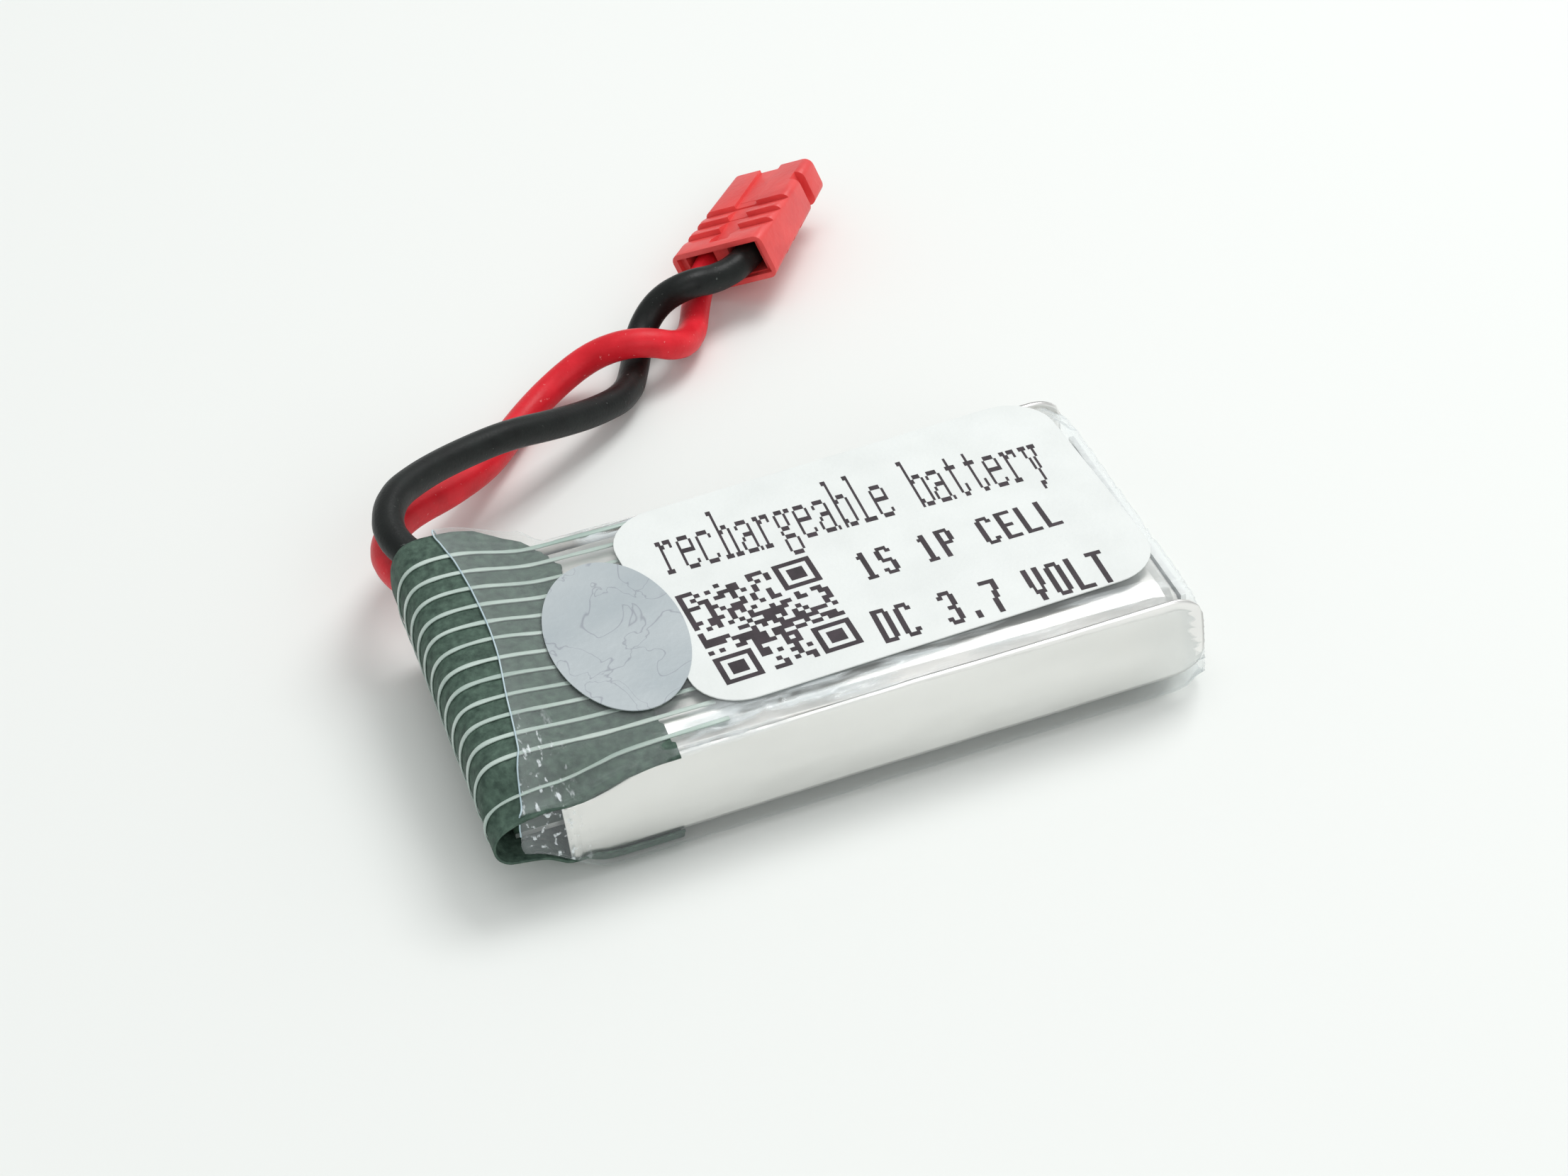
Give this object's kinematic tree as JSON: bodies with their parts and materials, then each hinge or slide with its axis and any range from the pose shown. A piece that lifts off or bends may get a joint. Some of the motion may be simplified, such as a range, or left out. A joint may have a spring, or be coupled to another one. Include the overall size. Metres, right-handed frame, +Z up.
{
  "type": "lipo battery pack",
  "caption": "Single-cell lithium polymer pouch pack with folded side seals, paper-wrapped circuit end, label, two twisted leads and a two-way plug.",
  "frame": {"origin": "underside of the pack, below the middle of its length and width", "axes": "+X from the circuit board end to the tail, +Y across the pack to the side where the leads come out, +Z up from the underside to the label"},
  "size_m": [0.0394, 0.0556, 0.0082],
  "materials": {
    "laminate": null,
    "electrode": null,
    "sealant": null,
    "aluminium_tab": null,
    "nickel": null,
    "board": null,
    "chip_plastic": null,
    "resistor_ceramic": null,
    "capacitor_ceramic": null,
    "green_fibre_paper": null,
    "glass_filament": null,
    "clear_film": null,
    "label_paper": null,
    "silver_sticker": null,
    "red_nylon": null,
    "contact_metal": null,
    "black_silicone": null,
    "red_silicone": null,
    "tinned_copper": null,
    "solder": null
  },
  "bodies": {
    "root": {"black_lead": "black_silicone", "black_lead_cores": "tinned_copper", "cell_pouch": "laminate", "chip_capacitor": "capacitor_ceramic", "chip_resistors": "resistor_ceramic", "clear_wrap": "clear_film", "electrode_stack": "electrode", "filament_strands": "glass_filament", "insulation_paper": "green_fibre_paper", "label": "label_paper", "negative_tab": "nickel", "negative_tab_sealant": "sealant", "oval_sticker": "silver_sticker", "plug_contact_negative": "contact_metal", "plug_contact_positive": "contact_metal", "plug_housing": "red_nylon", "positive_tab": "aluminium_tab", "positive_tab_sealant": "sealant", "protection_board": "board", "protection_chip": "chip_plastic", "red_lead": "red_silicone", "red_lead_cores": "tinned_copper", "side_flap_back": "laminate", "side_flap_front": "laminate", "solder_joint_negative": "solder", "solder_joint_positive": "solder", "switch_transistor": "chip_plastic", "tail_fold": "laminate", "terrace_seal": "laminate"}
  },
  "joints": []
}
